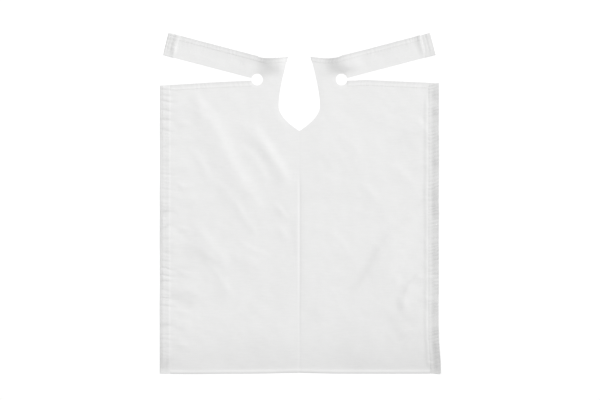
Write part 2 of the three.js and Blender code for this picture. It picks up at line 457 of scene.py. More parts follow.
def foot_height(x, y):
    """The bottom edge rolls down to the floor, more in some places than in others."""
    amount = 0.9 * hump(x, -264, 52) + 0.85 * hump(x, 0, 52) + 0.5 * hump(x, 340, 50)
    return amount * settle(y / 12) * hump(y, 0, 42)


LEFT_BUCKLE, RIGHT_BUCKLE = 5.4, 8.3  # how high it stands
BUCKLE_FOOT, BUCKLE_RISE = 814, 36  # where the cloth begins to stand up, and over what distance


def buckle_height(x, y):
    """The cloth over each relief hole stands up, since the tab beside it is swung up."""
    left = rising(x, -118, 46) * (1 - 0.75 * rising(x, -62, 34))
    right = rising(x, 66, 50) * (1 - rising(x, 122, 64))
    return rising(y, BUCKLE_FOOT, BUCKLE_RISE) * np.where(x < 0, LEFT_BUCKLE * left, RIGHT_BUCKLE * right)


# How far in from each free edge the cloth is clear of the floor
BOTTOM_REST, LEFT_REST, HOLE_REST, TAB_REST, NECK_REST = 26, 8, 9, 26, 13


def edge_rest(x, y):
    """From nothing at a free edge, which rests on the floor, to one further in."""
    side, over = np.abs(x), y - (HOLE_Y - BOTTOM) / MM
    away = side - HOLE_X / MM
    rest = np.minimum(settle(y / BOTTOM_REST), np.where(x < 0, settle((HALF / MM + x) / LEFT_REST), 1))
    rest = np.minimum(rest, rising(np.hypot(away, over), HOLE_R / MM, HOLE_REST))
    in_tab = (away > 0) & (over > 0)
    up_tab = away * ACROSS[0] + over * ACROSS[1]
    rest = np.where(in_tab, np.minimum(rest, settle(up_tab / TAB_REST)), rest)
    near = (side < 90) & (y > 560)
    if near.any():
        from_neck = np.abs(beside(on_cloth(NECK), side[near], y[near])[0])
        rest[near] = np.minimum(rest[near], settle(from_neck / NECK_REST))
    return rest


def right_lift(x, y):
    """The right side's hem curls up towards its edge, more in some places than in others."""
    return 1.8 * (1 + 0.8 * lumps(y, y * 0 + 7, 88, 52)) * rising(x, 355, 30)


def cloth_height(points):
    """How high the cloth's underside stands at flat places x, y, in metres."""
    look = bpy.context.scene.apron.lie
    x, y = points[..., 0] / MM, (points[..., 1] - BOTTOM) / MM
    shape = x.shape
    x, y = x.ravel(), y.ravel()
    calm = 0.15 + 0.85 * rising(np.abs(x), 8, 50)  # there is less unevenness beside the crease
    sway = 0.55 + 0.36 * lumps(x + NOISE_X, y, 84, 3) + 0.3 * lumps(x + NOISE_X, y, 43, 4)
    crumple = 0.24 * lumps(x + NOISE_X + 100, y + 9, 21, 5) + 0.09 * lumps(x + NOISE_X + 100, y, 11, 6)
    rest = 0.12 + 0.88 * edge_rest(x, y)
    uneven = (sway + crumple + 0.15) * look.sway / MM
    total = (folds_height(x, y) * look.fold_scale + uneven) * calm + buckle_height(x, y) * look.fold_scale
    total = (total + pucker_height(x, y) * look.pucker_scale) * rest + right_lift(x, y)
    total = total + crease_height(x, y, look.crease_height / MM) + foot_height(x, y)
    return (np.maximum(total, 0) * MM).reshape(shape)


def drift(points):
    """Small pulls in the cloth's own plane, which leave its edges less than straight."""
    x, y = points[..., 0] / MM, (points[..., 1] - BOTTOM) / MM
    low = falling(y, 150, 150)
    flare = 7 * (rising(x, 230, 150) * low) ** 1.6 - 0.8 * rising(x, 250, 130) * low
    waver = 0.7 * lumps(y, x * 0 + 3, 61, 31) * rising(np.abs(x), 300, 80)
    wing = rising(y, 640, 130) * settle((802 - y) / 3 + 1) * (y < 802)
    wing = wing * (4.2 * rising(x, 128, 60) - 2.2 * rising(-x, 200, 180))
    lift = (2.6 * hump(x, -5, 68) - 1.2 * hump(x, -290, 70)) * falling(y, 90, 90)
    return np.stack([points[..., 0] + (flare + waver) * MM, points[..., 1] + (wing + lift) * MM], axis=-1)


def laid(points, above):
    """Flat places x, y, at a height above the cloth's underside, as they lie on the floor."""
    where = drift(points)
    return np.concatenate([where, (cloth_height(points) + above)[..., None]], axis=-1)


# Painted shade in greyer bands along some folds: a line, how grey, and how wide
FOLD_SHADES = (
    (((150, 236), (251, 372), (350, 482)), 0.42, 13),
    (((320, 268), (296, 244), (284, 212), (282, 180)), 0.9, 5),
    (((-345, 350), (-292, 342), (-235, 304)), 0.75, 11),
    (((-345, 214), (-300, 190)), 0.8, 12),
    (((-345, 290), (-300, 284)), 0.5, 12),
    (((250, 150), (330, 160)), 0.5, 16),
    (((-50, 470), (-24, 430), (-10, 330)), 0.45, 9),
)


def painted_shading(points):
    """How much painted shade the cloth has: along its foot and right edge, over its holes, shoulders and
    tabs, along some folds and between puckers; it is also greyer low on the right, and painted lighter over
    the left hem.
    """
    x, y = points[..., 0] / MM, (points[..., 1] - BOTTOM) / MM
    side = np.abs(x)
    # Painted shade, darker towards the bottom edge, where less light falls.
    foot = 1.25 * falling(y, 140, 128) * (0.3 + 0.7 * rising(y, 6, 14)) * (1 + 0.1 * settle(x / 200))
    # Greyer low on the right.
    low_right = 0.3 * falling(y, 300, 200) * settle(x / 150)
    away, over = side - HOLE_X / MM, y - (HOLE_Y - BOTTOM) / MM
    # Painted shade up the tabs, over the relief holes and along the shoulders, where the buckled cloth is in
    # shade.
    up_tab = rising(away * ACROSS[0] + over * ACROSS[1], 12, 44) * ((away > 20) & (over > 0))
    over_holes = np.where(x < 0, 1.9, 1.5) * hump(side, 91, 29) * rising(y, 804, 20)
    over_holes = over_holes * (1 - 0.4 * rising(y, 850, 20))
    shoulders = 0.9 * hump(side, 104, 58) * rising(y, 842, 14)
    total = foot + low_right + 0.65 * up_tab + over_holes + shoulders
    flat_x, flat_y = x.ravel(), y.ravel()
    # Painted shade in bands along some folds.
    for line, grey, width in FOLD_SHADES:
        total = total + grey * hump(beside(line, flat_x, flat_y)[0].reshape(x.shape), 0, width)
    # Painted shade in the valleys between puckers.
    for pucker, grey in zip(PUCKERS, PUCKER_SHADES):
        total = total + grey * pucker_shape(flat_x, flat_y, pucker)[1].reshape(x.shape)
    # Painted light over the left side hem.
    left_hem = 0.75 * rising(-x, 352, 3)
    # Painted shade along the right side hem, darker than its curl alone makes it.
    right_edge = rising(x, 357, 10) * falling(y, 800, 60) * (1.1 + 1.3 * lumps(side, y, 23, 51))
    return total - left_hem + right_edge


SWING_REACH = 36 * MM  # how far past the seam a tab has taken up its whole swing


def unswung(points, side):
    """Where a place on a neck tab or its root lay in the flat cloth before the tab was swung up."""
    away = mirror(points, side) - (HOLE_X, HOLE_Y)
    out, up = away[..., 0], away[..., 1]
    angle = -RAISE * settle((out + HOLE_X - SEAM_X) / SWING_REACH)
    cos, sin = np.cos(angle), np.sin(angle)
    turned = np.stack([out * cos - up * sin, out * sin + up * cos], axis=-1)
    return mirror(turned + (HOLE_X, HOLE_Y), side)


# ---------------- making meshes


def deselect():
    for chosen in list(bpy.context.selected_objects):
        chosen.select_set(False)


def make_active(piece):
    deselect()
    piece.select_set(True)
    bpy.context.view_layer.objects.active = piece


def new_piece(name, places, faces, flat, painted_shade, material):
    """A mesh with the cloth's own flat places as its map, and its painted shade at each corner (painted light
    where negative).
    """
    mesh = bpy.data.meshes.new(name)
    mesh.from_pydata(places.reshape(-1, 3).tolist(), [], faces)
    corners = np.zeros(len(mesh.loops), dtype=np.int32)
    mesh.loops.foreach_get("vertex_index", corners)
    layer = mesh.uv_layers.new(name="cloth")
    layer.data.foreach_set("uv", flat.reshape(-1, 2)[corners].astype(np.float32).ravel())
    # This attribute carries painted shade to the material, and painted light where it is negative.
    shade_paint = mesh.attributes.new("painted_shade", "FLOAT", "POINT")
    shade_paint.data.foreach_set("value", painted_shade.ravel().astype(np.float32))
    piece = bpy.data.objects.new(name, mesh)
    bpy.context.collection.objects.link(piece)
    mesh.materials.append(material)
    return piece


def face_outwards(piece):
    make_active(piece)
    bpy.ops.object.mode_set(mode="EDIT")
    bpy.ops.mesh.select_all(action="SELECT")
    bpy.ops.mesh.normals_make_consistent(inside=False)
    bpy.ops.object.mode_set(mode="OBJECT")


def give_thickness(piece, thickness):
    make_active(piece)
    wall = piece.modifiers.new("thickness", "SOLIDIFY")
    wall.thickness = thickness
    wall.offset = 0
    wall.use_even_offset = False
    bpy.ops.object.modifier_apply(modifier=wall.name)
    face_outwards(piece)
    bpy.ops.object.shade_smooth_by_angle(angle=math.radians(50))
    deselect()


def inside(loop, points):
    """Which points lie inside a closed loop."""
    x, y = points[:, 0], points[:, 1]
    found = np.zeros(len(points), bool)
    for (ax, ay), (bx, by) in zip(loop, np.roll(loop, -1, axis=0)):
        if ay == by:
            continue
        crosses = (ay > y) != (by > y)
        found ^= crosses & (x < (bx - ax) * (y - ay) / (by - ay) + ax)
    return found


def clear_of(loop, points, gap):
    """Which points are further than gap from a closed loop."""
    clear = np.ones(len(points), bool)
    for a, b in zip(loop, np.roll(loop, -1, axis=0)):
        along = b - a
        length = np.hypot(*along)
        if length < 1e-9:
            continue
        t = np.clip((points - a) @ along / length**2, 0, 1)
        away = points - a - t[:, None] * along
        clear &= np.hypot(away[:, 0], away[:, 1]) > gap
    return clear


def fill(loop, grid, gap):
    """Triangles that fill a loop and pass through the grid's points inside it."""
    keep = grid[inside(loop, grid)]
    keep = keep[clear_of(loop, keep, gap)]
    count = len(loop)
    places = [Vector(p) for p in loop] + [Vector(p) for p in keep]
    edges = [(i, (i + 1) % count) for i in range(count)]
    verts, _, faces, _, _, _ = delaunay_2d_cdt(places, edges, [list(range(count))], 1, 1e-7)
    return np.array([tuple(v) for v in verts]), [list(f) for f in faces]


def cloth_piece(name, loop, grid, gap, flat_of):
    """A sheet of the apron's cloth inside a loop, laid with its folds and as thick as the cloth."""
    thickness = bpy.context.scene.apron.cloth.thickness
    places, faces = fill(loop, grid, gap)
    x, y = places[:, 0] / MM, (places[:, 1] - BOTTOM) / MM
    # Painted shade down the centre crease.
    crease = (0.15 + 0.75 * rising(y, 60, 90) * falling(y, 590, 120)) * hump(x, 2, 2.4)
    painted_shade = crease + painted_shading(places)
    above = laid(places, thickness / 2)
    piece = new_piece(name, above, faces, flat_of(places), painted_shade, finish_named("apron_cloth"))
    give_thickness(piece, thickness)
    return piece


# ---------------- materials


THREAD_TWIST = 0.7 * MM


class Finish:
    """A material, or the world, with short ways to add and join its nodes."""

    def __init__(self, block):
        block.use_nodes = True
        self.nodes, self.links = block.node_tree.nodes, block.node_tree.links

    def node(self, kind, **inputs):
        """A new node of that kind, with its inputs set or linked."""
        return self.join(self.nodes.new(kind), inputs)

    def join(self, node, inputs):
        """Sets each named input to a value, or links an output to it; _2 is the input of that number."""
        for name, value in inputs.items():
            number = name[1:]
            socket = node.inputs[int(number) if number.isdigit() else name.replace("_", " ")]
            if isinstance(value, bpy.types.NodeSocket):
                self.links.new(value, socket)
            else:
                socket.default_value = value
        return node

    def math(self, kind, *values):
        node = self.nodes.new("ShaderNodeMath")
        node.operation = kind
        return self.join(node, {f"_{i}": value for i, value in enumerate(values)}).outputs[0]

    def noise(self, vector, scale, detail, stretch=None):
        if stretch is not None:
            vector = self.node("ShaderNodeMapping", Vector=vector, Scale=stretch).outputs["Vector"]
        texture = self.node("ShaderNodeTexNoise", Vector=vector, Scale=scale, Detail=detail, Roughness=0.55)
        return texture.outputs["Fac"]

    def ramp(self, value, low, high):
        node = self.node("ShaderNodeMapRange", Value=value, From_Min=low, From_Max=high)
        node.interpolation_type = "SMOOTHSTEP"
        return node.outputs["Result"]

    def bump(self, height, strength, distance, **under):
        node = self.node("ShaderNodeBump", Height=height, Strength=strength, Distance=distance, **under)
        return node.outputs["Normal"]

    def cloth_map(self):
        """The cloth's own flat places, along and across its threads."""
        places = self.nodes.new("ShaderNodeUVMap")
        places.uv_map = "cloth"
        return places.outputs["UV"]

    def dyed(self, colour, tone):
        """The colour, lighter or darker by the tone."""
        node = self.nodes.new("ShaderNodeVectorMath")
        node.operation = "SCALE"
        return self.join(node, {"_0": colour[:3], "Scale": tone}).outputs[0]


def plain_weave(name, colour, pitch, shade_strength):
    """Plain-woven cotton: over-and-under threads, thick places in the weft, faint mottling, and painted shade
    from the mesh's attribute.
    """
    material = bpy.data.materials.new(name)
    finish = Finish(material)
    flat = finish.cloth_map()
    parts = finish.node("ShaderNodeSeparateXYZ", Vector=flat)
    turns = [finish.math("MULTIPLY", parts.outputs[i], math.pi / pitch) for i in (0, 1)]
    waves = [finish.math("SINE", turn) for turn in turns]
    over = finish.ramp(finish.math("MULTIPLY", *waves), -0.25, 0.25)
    warp, weft = (finish.math("ABSOLUTE", wave) for wave in waves)
    threads = finish.node("ShaderNodeMix", Factor=over, _2=warp, _3=weft).outputs[0]
    slubs = finish.ramp(finish.noise(flat, 1, 2, (26, 1500, 1)), 0.54, 0.74)
    thin = finish.ramp(finish.noise(flat, 1, 1, (1300, 18, 1)), 0.6, 0.8)
    weft_bands = finish.noise(flat, 1, 3, (34, 250, 1))
    mottle = finish.noise(flat, 22, 4)
    broad = finish.noise(flat, 5, 2)
    shade_paint = finish.nodes.new("ShaderNodeAttribute")
    shade_paint.attribute_name = "painted_shade"
    shades = (
        (thin, 0.014),
        (weft_bands, 0.06),
        (mottle, 0.05),
        (broad, 0.03),
        # Painted shade from the mesh's attribute darkens the colour; where negative it is painted light.
        (shade_paint.outputs["Fac"], -shade_strength),
    )
    tone = finish.math("MULTIPLY_ADD", slubs, 0.028, 0.925)
    for value, amount in shades:
        tone = finish.math("ADD", tone, finish.math("MULTIPLY", value, amount))
    fine = finish.bump(threads, 0.35, 0.00012)
    coarse = finish.bump(finish.math("ADD", slubs, thin), 0.5, 0.00018, Normal=fine)
    finish.join(finish.nodes["Principled BSDF"], {
        "Base Color": finish.dyed(colour, tone),
        "Roughness": finish.math("MULTIPLY_ADD", mottle, 0.08, 0.86),
        "Specular IOR Level": 0.22,
        "Sheen Weight": 0.12,
        "Sheen Roughness": 0.6,
        "Normal": coarse,
    })
    return material


def spun_thread(name, colour):
    """Twisted sewing thread."""
    material = bpy.data.materials.new(name)
    finish = Finish(material)
    flat = finish.cloth_map()
    parts = finish.node("ShaderNodeSeparateXYZ", Vector=flat)
    lean = finish.math("ADD", parts.outputs[0], parts.outputs[1])
    twist = finish.math("SINE", finish.math("MULTIPLY", lean, 2 * math.pi / THREAD_TWIST))
    spots = finish.noise(flat, 900, 2)
    # The twist also makes the thread lighter on its plies and darker in the grooves between them: painted
    # light and shade.
    tone = finish.math("MULTIPLY_ADD", twist, 0.04, 0.9)
    tone = finish.math("ADD", tone, finish.math("MULTIPLY", spots, 0.1))
    finish.join(finish.nodes["Principled BSDF"], {
        "Base Color": finish.dyed(colour, tone),
        "Roughness": 0.7,
        "Sheen Weight": 0.2,
        "Normal": finish.bump(twist, 0.6, 0.0001),
    })
    return material


def finish_named(kind):
    """The cloth, hem or thread finish, made the first time that it is asked for."""
    look = bpy.context.scene.apron
    known = bpy.data.materials.get(kind)
    if known is not None:
        return known
    if kind == "apron_cloth":
        return plain_weave(kind, look.cloth.colour, look.cloth.thread_pitch, 0.05)
    # The hem is a darker copy of the cloth finish: painted shade for its thicker, puckered layers, with its
    # meshes' painted shade twice as strong.
    if kind == "apron_hem":
        return plain_weave(kind, look.hem.colour, look.cloth.thread_pitch, 0.1)
    return spun_thread(kind, look.stitch.colour)


# ---------------- hems and stitches


def run_along(line):
    """The distance of each of a line's points from its start."""
    return np.concatenate([[0], np.cumsum(np.hypot(*np.diff(line, axis=0).T))])


def on_line(line, run):
    """The places on a line at those distances from its start."""
    return np.stack([np.interp(run, run_along(line), line[:, i]) for i in (0, 1)], axis=1)


def even_runs(line, step):
    """Distances at even steps from a line's start to its end."""
    whole = run_along(line)[-1]
    return np.linspace(0, whole, max(2, round(whole / step) + 1))


def dimple(run, stitch):
    """From 1 at a needle hole to about a half between two of them."""
    return 0.72 + 0.28 * np.cos(2 * math.pi * run / stitch)


WIDE_HEM = 20 * MM  # only the side hems are wider than this
WIDE_SLOPE, NARROW_SLOPE = 4 * MM, 8 * MM  # how far out from its inner fold a hem's top slopes down
PRESSED = 1.3  # how far down it slopes, in layers of cloth
FOLD_PUFF, EDGE_PUFF = (5 * MM, 3.2 * MM), (1.5 * MM, 2.2 * MM)  # how far in a hem puffs up, and how widely
ROW_DIP = 1.1 * MM  # how widely a row of stitching pulls a hem down


def top_height(inset, run, rows, width):
    """How high the top of a hem's upper layer stands above the cloth's underside."""
    look = bpy.context.scene.apron
    layer = look.cloth.thickness + look.hem.slack
    slope = WIDE_SLOPE if width > WIDE_HEM else NARROW_SLOPE
    puff = hump(inset, width - FOLD_PUFF[0], FOLD_PUFF[1]) + 0.4 * hump(inset, *EDGE_PUFF)
    swell = look.hem.swell * puff - layer * PRESSED * rising(inset, width - slope, slope)
    for row in rows:
        swell = swell - look.hem.dimple * hump(inset, row, ROW_DIP) * dimple(run, look.stitch.length)
    return 2.5 * layer + swell


# Where a hem's top has points, in millimetres: in from its edge, out from its inner fold, and beside a row
EDGE_POINTS = (0.9, 1.8, 3.0)
FOLD_POINTS = (6.5, 5.0, 3.6, 2.4, 1.4)
ROW_POINTS = (-1.8, -1.0, -0.45, 0, 0.45, 1.0, 1.8)
EDGE_ROOM, FOLD_ROOM = 0.6, 1.2  # kept free of points beside the edge and the inner fold
WIDEST_GAP, NARROWEST_GAP = 3.2, 0.2


def top_insets(width, rows):
    """How far in from its edge a hem's top has points."""
    spread = [*EDGE_POINTS, *(width / MM - out for out in FOLD_POINTS)]
    for row in rows:
        spread += [row / MM + beyond for beyond in ROW_POINTS]
    spread = sorted({round(s, 3) for s in spread if EDGE_ROOM < s < width / MM - FOLD_ROOM})
    for low, gap in zip(spread[:-1], np.diff(spread)):
        if gap > WIDEST_GAP:
            extra = math.ceil(gap / 3)
            spread += [low + gap * k / extra for k in range(1, extra)]
    spread = np.array(sorted(spread)) * MM
    return spread[np.concatenate([[True], np.diff(spread) > NARROWEST_GAP * MM])]


# A hem's turned edge and its inner fold: how far in from the edge, or from the fold, in millimetres, and how
# high in layers of cloth
TURNED_EDGE = ((0.5, 0.5), (0, 0.65), (-0.32, 1.05), (-0.36, 1.5))
INNER_FOLD = ((-0.4, 1.25), (0.1, 1.15), (0.25, 1), (0, 0.9), (-1.2, 1), (-4, 1.5))


def hem_section(run, width, rows):
    """A hem's cross-section at each distance along it, as insets from its edge and heights."""
    look = bpy.context.scene.apron
    layer = look.cloth.thickness + look.hem.slack
    section = [(inset * MM, height * layer) for inset, height in TURNED_EDGE]
    section.append((-0.1 * MM, 2.5 * layer - 0.12 * MM))
    section += [(inset, top_height(inset, run, rows, width)) for inset in top_insets(width, rows)]
    section += [(width + inset * MM, height * layer) for inset, height in INNER_FOLD]
    section += [(width / 2, 1.5 * layer), (2.2 * MM, 1.5 * layer)]
    return (np.stack([np.broadcast_to(part[i], run.shape) for part in section], axis=1) for i in (0, 1))


def grid_faces(high, wide):
    index = np.arange(high * wide).reshape(high, wide)
    corners = (index[:-1, :-1], index[1:, :-1], index[1:, 1:], index[:-1, 1:])
    return np.stack(corners, axis=-1).reshape(-1, 4).tolist()


def hem_painted_shade(name, inset, places, run, width, rows):
    """How much painted shade a hem has: at its needle holes, along its outer edge, and where the cloth itself
    has it; narrow hems get painted light beside their inner fold.
    """
    look = bpy.context.scene.apron
    # Painted shade along the hem's outer edge, faint on the left side hem.
    edge_shade = 0.1 if name == "left_side_hem" else 0.6
    painted_shade = edge_shade * hump(np.clip(inset, 0, None), 0, 1.6 * MM)
    # Painted shade at each row's needle holes.
    for row in rows:
        painted_shade = painted_shade + 0.25 * hump(inset, row, 0.8 * MM) * dimple(run, look.stitch.length)[:, None]
    painted_shade = np.clip(painted_shade, 0, 1) + 0.6 * painted_shading(places)
    if width < WIDE_HEM:
        # Painted light beside the inner fold, which lightens the shade of its step.
        painted_shade = painted_shade - 1.1 * hump(inset, width - 3.5 * MM, 4 * MM)
    return painted_shade


def turned_hem(name, line, inward, width, rows, flat_of):
    """A hem turned over twice: round the edge, in across the top, round the inner fold and back beneath."""
    look = bpy.context.scene.apron
    run = even_runs(line, look.stitch.length / 3)
    inset, height = hem_section(run, width, rows)
    lean = inward(run / run[-1])
    places = on_line(line, run)[:, None, :] + lean[:, None, :] * inset[..., None]
    if name in ("left_side_hem", "right_side_hem"):
        grow = (places[..., 1] - BOTTOM) / (CORNER_Y - BOTTOM)
        places[..., 1] -= WING_SLOPE * np.clip(inset, 0, None) * np.clip(grow, 0, 1)
    painted_shade = hem_painted_shade(name, inset, places, run, width, rows)
    faces = grid_faces(*inset.shape)
    piece = new_piece(name, laid(places, height), faces, flat_of(places), painted_shade, finish_named("apron_hem"))
    give_thickness(piece, look.cloth.thickness)
    return piece


def stitch_shape():
    """One stitch, modelled once: a short bead of thread along X, one unit long and one unit thick."""
    deselect()
    along_x = (0, math.radians(90), 0)
    bpy.ops.mesh.primitive_uv_sphere_add(segments=6, ring_count=4, radius=0.5, rotation=along_x)
    bead = bpy.context.active_object
    bpy.ops.object.transform_apply(location=True, rotation=True, scale=True)
    places = np.array([v.co for v in bead.data.vertices])
    faces = [list(f.vertices) for f in bead.data.polygons]
    mesh = bead.data
    bpy.data.objects.remove(bead)
    bpy.data.meshes.remove(mesh)
    full = np.sign(places[:, 0]) * 0.5 * (np.abs(places[:, 0]) * 2) ** 0.75
    return np.stack([full, places[:, 1], places[:, 2]], axis=1), faces


STITCH_GAP = 0.25 * MM  # from a stitch's end to its needle hole
STITCH_WANDER = 0.12 * MM  # how far a stitch may lie off its row
STITCH_LIFT = 0.02  # how far clear of the cloth a stitch's ends lie, in millimetres
TOP_ARCH, UNDER_ARCH = 0.16, 0.08  # how much further its middle stands, in millimetres
TOP_ROUND, UNDER_ROUND = 0.7, 0.5  # how round the thread is, as a share of its width


def stitch_row(name, line, inward, inset, width, rows):
    """Lockstitches along a hem, on its top and on the underside of the cloth."""
    look = bpy.context.scene.apron
    bead, bead_faces = stitch_shape()
    arch = 1 - (bead[:, 0] * 2) ** 2
    across, thick = bead[:, 1] * look.stitch.thread_width, bead[:, 2] * look.stitch.thread_width
    holes = even_runs(line, look.stitch.length)
    count = len(holes) - 1
    random = np.random.RandomState(sum(ord(c) for c in name))
    sway = random.uniform(-1, 1, (count, 2)) * STITCH_WANDER
    flat, above, maps, faces = [], [], [], []
    for under in (0, 1):
        for k in range(count):
            start, end = holes[k] + STITCH_GAP, holes[k + 1] - STITCH_GAP
            centre = (start + end) / 2 + under * 0.5 * (holes[1] - holes[0])
            run = np.clip(centre + bead[:, 0] * (end - start), 0, holes[-1])
            off = inset + sway[k, under] + across
            if under:
                height = -(STITCH_LIFT + UNDER_ARCH * arch) * MM + thick * UNDER_ROUND
            else:
                skin = top_height(inset, run, rows, width) + look.cloth.thickness / 2
                height = skin + (STITCH_LIFT + TOP_ARCH * arch) * MM + thick * TOP_ROUND
            faces += [[i + len(flat) * len(bead) for i in face] for face in bead_faces]
            flat.append(on_line(line, run) + inward(run / holes[-1]) * off[:, None])
            above.append(height)
            maps.append(np.stack([run, across], axis=1))
    flat, above, maps = (np.concatenate(part) for part in (flat, above, maps))
    # The thread gets no painted shade.
    unshaded = np.zeros(len(flat))
    piece = new_piece(name, laid(flat, above), faces, maps, unshaded, finish_named("apron_thread"))
    face_outwards(piece)
    bpy.ops.object.shade_smooth()
    deselect()
    return piece


def straight(direction):
    direction = np.array(direction, float)
    return lambda t: np.tile(direction, (len(np.atleast_1d(t)), 1))


def as_is(places):
    return places


def hems_of(label, side):
    """One side's hems: each one's outer edge, the way in, its width, its rows and its flat map."""

    def swung_back(places):
        return unswung(places, side)

    def beside_neck(t):
        """Straight down, but at the very end along the neck's edge."""
        slant = (NECK[2] - NECK[0])[0] / (NECK[0] - NECK[2])[1]
        t = np.atleast_1d(t)
        return np.stack([side * slant * rising(t, 0.8, 0.2), -np.ones(t.shape)], axis=1)

    def round_bend(t):
        """From straight down to square with the swung tab."""
        angle = RAISE * settle(np.atleast_1d(t) / 0.6)
        return np.stack([side * np.sin(angle), -np.cos(angle)], axis=1)

    side_edge = np.array([(HALF, BOTTOM), (HALF, CORNER_Y)])
    wing = np.array([(HALF - SIDE_HEM, CORNER_Y - WING_SLOPE * SIDE_HEM), (WING_X, WING_Y)])
    shoulder = np.concatenate([[SEAM_TOP], SHOULDER[SHOULDER[:, 0] < SEAM_X - NEAR]])
    bend = SHOULDER[SHOULDER[:, 0] > SEAM_X + NEAR][::-1]
    root = np.concatenate([[SEAM_TOP], bend, [tab_place(ROOT_END, TAB_WIDTH, 1)]])
    middle = tab_place(np.array([ROOT_END, MIDDLE_END]), TAB_WIDTH, 1)
    end_top = tab_place(np.array([MIDDLE_END, TAB_LENGTH - SIDE_HEM]), TAB_WIDTH, 1)
    end_side = tab_place(TAB_LENGTH, np.array([0, TAB_WIDTH]), 1)
    down, back = straight(mirror(-ACROSS, side)), straight(mirror(-ALONG, side))
    side_rows = {"side_stitching_outer": ROW_OUTER, "side_stitching_inner": ROW_INNER}
    end_rows = {"tab_end_stitching_outer": ROW_OUTER, "tab_end_stitching_inner": ROW_INNER}
    hems = {
        "side": (side_edge, straight((-side, 0)), SIDE_HEM, side_rows, as_is),
        "wing": (wing, straight((0, -1)), WING_HEM, {"wing_stitching": WING_ROW}, as_is),
        "shoulder": (shoulder, beside_neck, TAB_HEM, {"shoulder_stitching": TAB_ROW}, as_is),
        "tab_root": (root, round_bend, TAB_HEM, {"tab_root_stitching": TAB_ROW}, swung_back),
        "tab_middle": (middle, down, TAB_HEM, {"tab_middle_stitching": TAB_ROW}, swung_back),
        "tab_end_top": (end_top, down, TAB_HEM, {"tab_end_top_stitching": TAB_ROW}, swung_back),
        "tab_end_side": (end_side, back, SIDE_HEM, end_rows, swung_back),
    }
    return {f"{label}_{part}_hem": (mirror(line, side), *rest) for part, (line, *rest) in hems.items()}


HEMS = {**hems_of("left", -1), **hems_of("right", 1)}
HEMS["bottom_hem"] = (
    np.array([(SIDE_HEM - HALF, BOTTOM), (HALF - SIDE_HEM, BOTTOM)]),
    straight((0, 1)),
    BOTTOM_HEM,
    {"bottom_stitching": BOTTOM_ROW},
    as_is,
)


def carry(piece, name):
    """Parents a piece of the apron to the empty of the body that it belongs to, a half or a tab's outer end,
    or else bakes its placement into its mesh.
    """
    label = name.split("_")[0]

    def tab_blend():
        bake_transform(piece)

    if label not in dict(SIDES):
        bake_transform(piece)
    elif "_tab_" not in name:
        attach(piece, f"{label}_half")
    elif "tab_root" in name:
        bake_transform(piece)
    elif "tab_middle" in name:
        tab_blend()
    elif "end_side" in name or "stitching_outer" in name or "stitching_inner" in name:
        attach(piece, f"{label}_tab_outer")
    else:
        tab_blend()


def stands_for(piece, name):
    """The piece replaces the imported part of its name, or the left and right ones if it runs across both."""
    parts = [name] if name.split("_")[0] in dict(SIDES) else [f"{label}_{name}" for label, _ in SIDES]
    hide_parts(*parts)
    carry(piece, name)


def make_hem(name):
    line, inward, width, rows, flat = HEMS[name]
    stands_for(turned_hem(name, line, inward, width, list(rows.values()), flat), name)


# ---------------- settings


def length_setting(name, description, default, low, high):
    return FloatProperty(
        name=name, description=description, default=default, min=low, max=high,
        subtype="DISTANCE", unit="LENGTH", precision=5)


def colour_setting(name, description, default):
    return FloatVectorProperty(
        name=name, description=description, default=default, min=0, max=1, size=3, subtype="COLOR")


def share_setting(name, description):
    return FloatProperty(name=name, description=description, default=1.0, min=0, max=3, subtype="FACTOR")


class ApronClothSettings(PropertyGroup):
    thickness: length_setting("Thickness", "Thickness of the cloth", 0.00024, 0.0001, 0.002)
    spacing: length_setting(
        "Spacing", "Distance between the points that the cloth is shaped by", 0.0046, 0.002, 0.02)
    thread_pitch: length_setting(
        "Thread pitch", "Distance from one thread of the weave to the next", 0.00055, 0.0002, 0.003)
    colour: colour_setting("Colour", "Colour of the cloth", (0.772, 0.772, 0.77))


class ApronHemSettings(PropertyGroup):
    slack: length_setting("Slack", "Air between two layers of a hem", 0.00003, 0, 0.002)
    swell: length_setting("Swell", "How far a hem puffs up beside its folds", 0.0002, 0, 0.004)
    dimple: length_setting("Dimple", "How far a row of stitching pulls the hem down", 0.0001, 0, 0.001)
    # Darker than the cloth: painted shade for the thicker, puckered layers of the hems.
    colour: colour_setting("Colour", "Colour of the hems", (0.735, 0.735, 0.733))


class ApronStitchSettings(PropertyGroup):
    length: length_setting("Stitch length", "Length of one lockstitch", 0.004, 0.001, 0.01)
    thread_width: length_setting(
        "Thread width", "Thickness of the sewing thread", 0.0005, 0.0001, 0.002)
    colour: colour_setting("Colour", "Colour of the sewing thread", (0.84, 0.84, 0.835))


class ApronLieSettings(PropertyGroup):
    fold_scale: share_setting("Fold height", "Height of the soft folds, as a share of their own")
    pucker_scale: share_setting(
        "Pucker height", "Height of the puckers along the seams, as a share of their own")
    sway: length_setting("Sway", "Height of the gentle unevenness all over the cloth", 0.001, 0, 0.01)
    crease_height: length_setting(
        "Crease depth", "Depth of the pressed crease down the middle", 0.0011, 0, 0.003)


